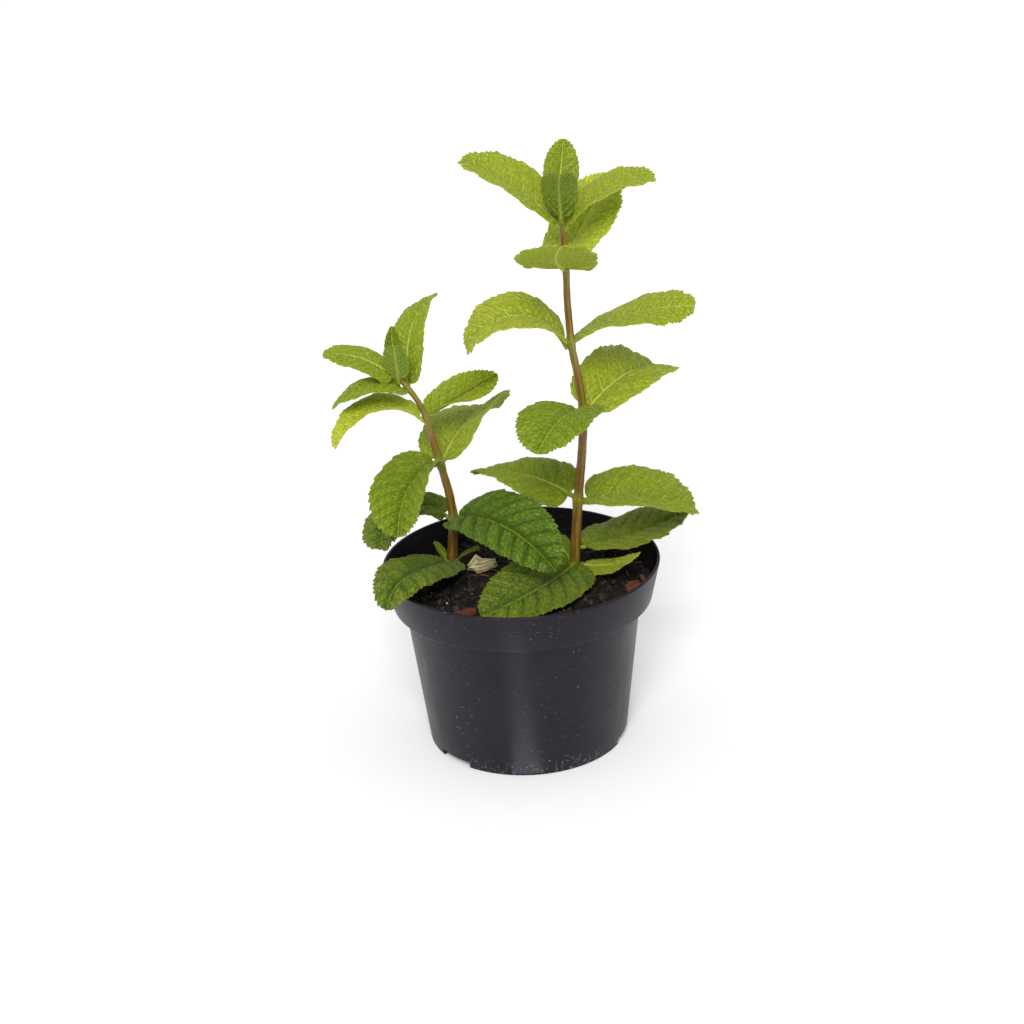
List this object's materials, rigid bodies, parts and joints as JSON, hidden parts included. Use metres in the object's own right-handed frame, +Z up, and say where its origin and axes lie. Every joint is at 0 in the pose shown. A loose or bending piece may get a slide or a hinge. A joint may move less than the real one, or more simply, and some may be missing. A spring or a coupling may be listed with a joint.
{
  "type": "potted mint plant",
  "caption": "Young mint plant with crinkled serrated leaves on upright stems, rooted in a round plastic nursery pot of potting soil.",
  "frame": {"origin": "middle of the pot's underside, on the surface it stands on", "axes": "+Z up along the pot's axis, -Y towards the side it is looked at from, +X to the right of that view"},
  "size_m": [0.157, 0.1273, 0.2568],
  "materials": {
    "pot_plastic": "semi-matte moulded polypropylene",
    "peat_soil": "loose, moist",
    "mint_leaf": "crinkled, soft sheen",
    "stem_skin": "smooth, slightly glossy",
    "dry_stem_wood": "dry, fibrous",
    "pine_bark": "rough"
  },
  "bodies": {
    "root": {"bark_chip_back": "pine_bark", "bark_chip_front": "pine_bark", "bark_chip_right": "pine_bark", "cut_stem_stub": "dry_stem_wood", "pot": "pot_plastic", "potting_soil": "peat_soil", "short_base_rim_leaf": "mint_leaf", "short_base_small_leaf": "mint_leaf", "short_base_sprout": "mint_leaf", "short_node1_front_leaf": "mint_leaf", "short_node1_left_leaf": "mint_leaf", "short_node2_left_leaf": "mint_leaf", "short_node2_right_leaf": "mint_leaf", "short_node3_left_leaf": "mint_leaf", "short_node3_right_leaf": "mint_leaf", "short_node4_left_leaf": "mint_leaf", "short_node4_right_leaf": "mint_leaf", "short_stem": "stem_skin", "short_tip_front_leaf": "mint_leaf", "short_tip_left_leaf": "mint_leaf", "short_tip_upright_leaf": "mint_leaf", "tall_base_front_leaf": "mint_leaf", "tall_base_inner_leaf": "mint_leaf", "tall_base_right_leaf": "mint_leaf", "tall_base_small_leaf": "mint_leaf", "tall_base_sprout": "mint_leaf", "tall_node1_left_leaf": "mint_leaf", "tall_node1_right_leaf": "mint_leaf", "tall_node2_front_leaf": "mint_leaf", "tall_node2_right_leaf": "mint_leaf", "tall_node3_left_leaf": "mint_leaf", "tall_node3_right_leaf": "mint_leaf", "tall_node4_back_leaf": "mint_leaf", "tall_node4_front_leaf": "mint_leaf", "tall_node5_left_leaf": "mint_leaf", "tall_node5_right_leaf": "mint_leaf", "tall_stem": "stem_skin", "tall_tip_back_leaf": "mint_leaf", "tall_tip_front_leaf": "mint_leaf"}
  },
  "joints": []
}
